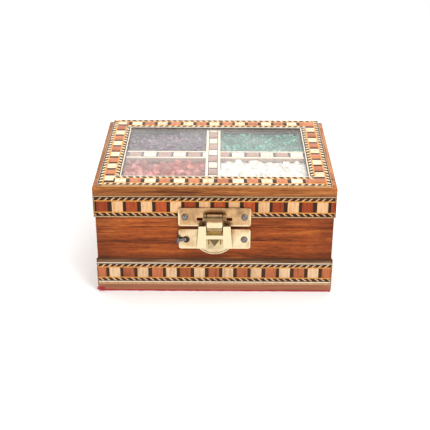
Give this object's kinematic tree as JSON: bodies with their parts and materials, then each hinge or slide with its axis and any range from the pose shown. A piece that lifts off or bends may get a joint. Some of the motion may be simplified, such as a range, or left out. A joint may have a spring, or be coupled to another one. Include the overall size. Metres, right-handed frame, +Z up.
{
  "type": "inlaid wooden box",
  "caption": "Rectangular wooden keepsake box with marquetry bands, a hinged glass-topped lid over a divided, filled tray, and a brass push catch at the front.",
  "frame": {"origin": "middle of the felt underside", "axes": "+Z up, +X to the right and +Y to the back as the catch is faced"},
  "size_m": [0.15, 0.1147, 0.0757],
  "materials": {
    "walnut": "oiled reddish-brown wood",
    "inlay": "marquetry of light, red and black wood under varnish",
    "tray_wood": "plain softwood",
    "felt": "red felt",
    "glass": "clear, slightly hazy",
    "brass": "polished",
    "iron": "dull, bare nails",
    "purple_granules": "dark crushed grains",
    "green_granules": "teal crushed grains",
    "red_chunks": "red translucent chunks",
    "white_chunks": "white chunks"
  },
  "bodies": {
    "body": {"base_felt": "felt", "base_board": "walnut", "body_front_wall": "walnut", "body_front_band": "inlay", "tray_front_wall": "tray_wood", "body_back_wall": "walnut", "body_back_band": "inlay", "tray_back_wall": "tray_wood", "body_left_wall": "walnut", "body_left_band": "inlay", "tray_left_wall": "tray_wood", "body_right_wall": "walnut", "body_right_band": "inlay", "tray_right_wall": "tray_wood", "tray_floor": "tray_wood", "centre_divider": "tray_wood", "left_cross_divider": "tray_wood", "right_cross_divider": "tray_wood", "centre_divider_cap": "inlay", "left_cross_cap": "inlay", "right_cross_cap": "inlay", "back_left_purple_granules": "purple_granules", "back_right_green_granules": "green_granules", "front_left_red_chunks": "red_chunks", "front_right_white_chunks": "white_chunks", "catch_lower_plate": "brass", "catch_lower_nails": "iron", "hinge_body_leaves": "brass", "hinge_pins": "brass", "hinge_body_nails": "iron"},
    "lid": {"lid_front_wall": "walnut", "lid_front_rail": "walnut", "lid_front_band": "inlay", "top_front_inlay": "inlay", "lid_back_wall": "walnut", "lid_back_rail": "walnut", "lid_back_band": "inlay", "top_back_inlay": "inlay", "lid_left_wall": "walnut", "lid_left_rail": "walnut", "lid_left_band": "inlay", "top_left_inlay": "inlay", "lid_right_wall": "walnut", "lid_right_rail": "walnut", "lid_right_band": "inlay", "top_right_inlay": "inlay", "glass_pane": "glass", "catch_upper_plate": "brass", "catch_upper_nails": "iron", "catch_tongue_pin": "brass", "hinge_lid_leaves": "brass", "hinge_lid_nails": "iron"},
    "tongue": {"catch_tongue": "brass"}
  },
  "joints": [
    {"name": "lid_hinge", "type": "hinge", "parent": "body", "child": "lid", "pos_m": [0, 0.0544, 0.0466], "axis": [-1, 0, 0], "range_deg": [0, 180]},
    {"name": "tongue_press", "type": "hinge", "parent": "lid", "child": "tongue", "pos_m": [0, -0.0566, 0.056], "axis": [1, 0, 0], "range_deg": [0, 2.5], "stiffness_Nm_per_rad": 0.3}
  ]
}
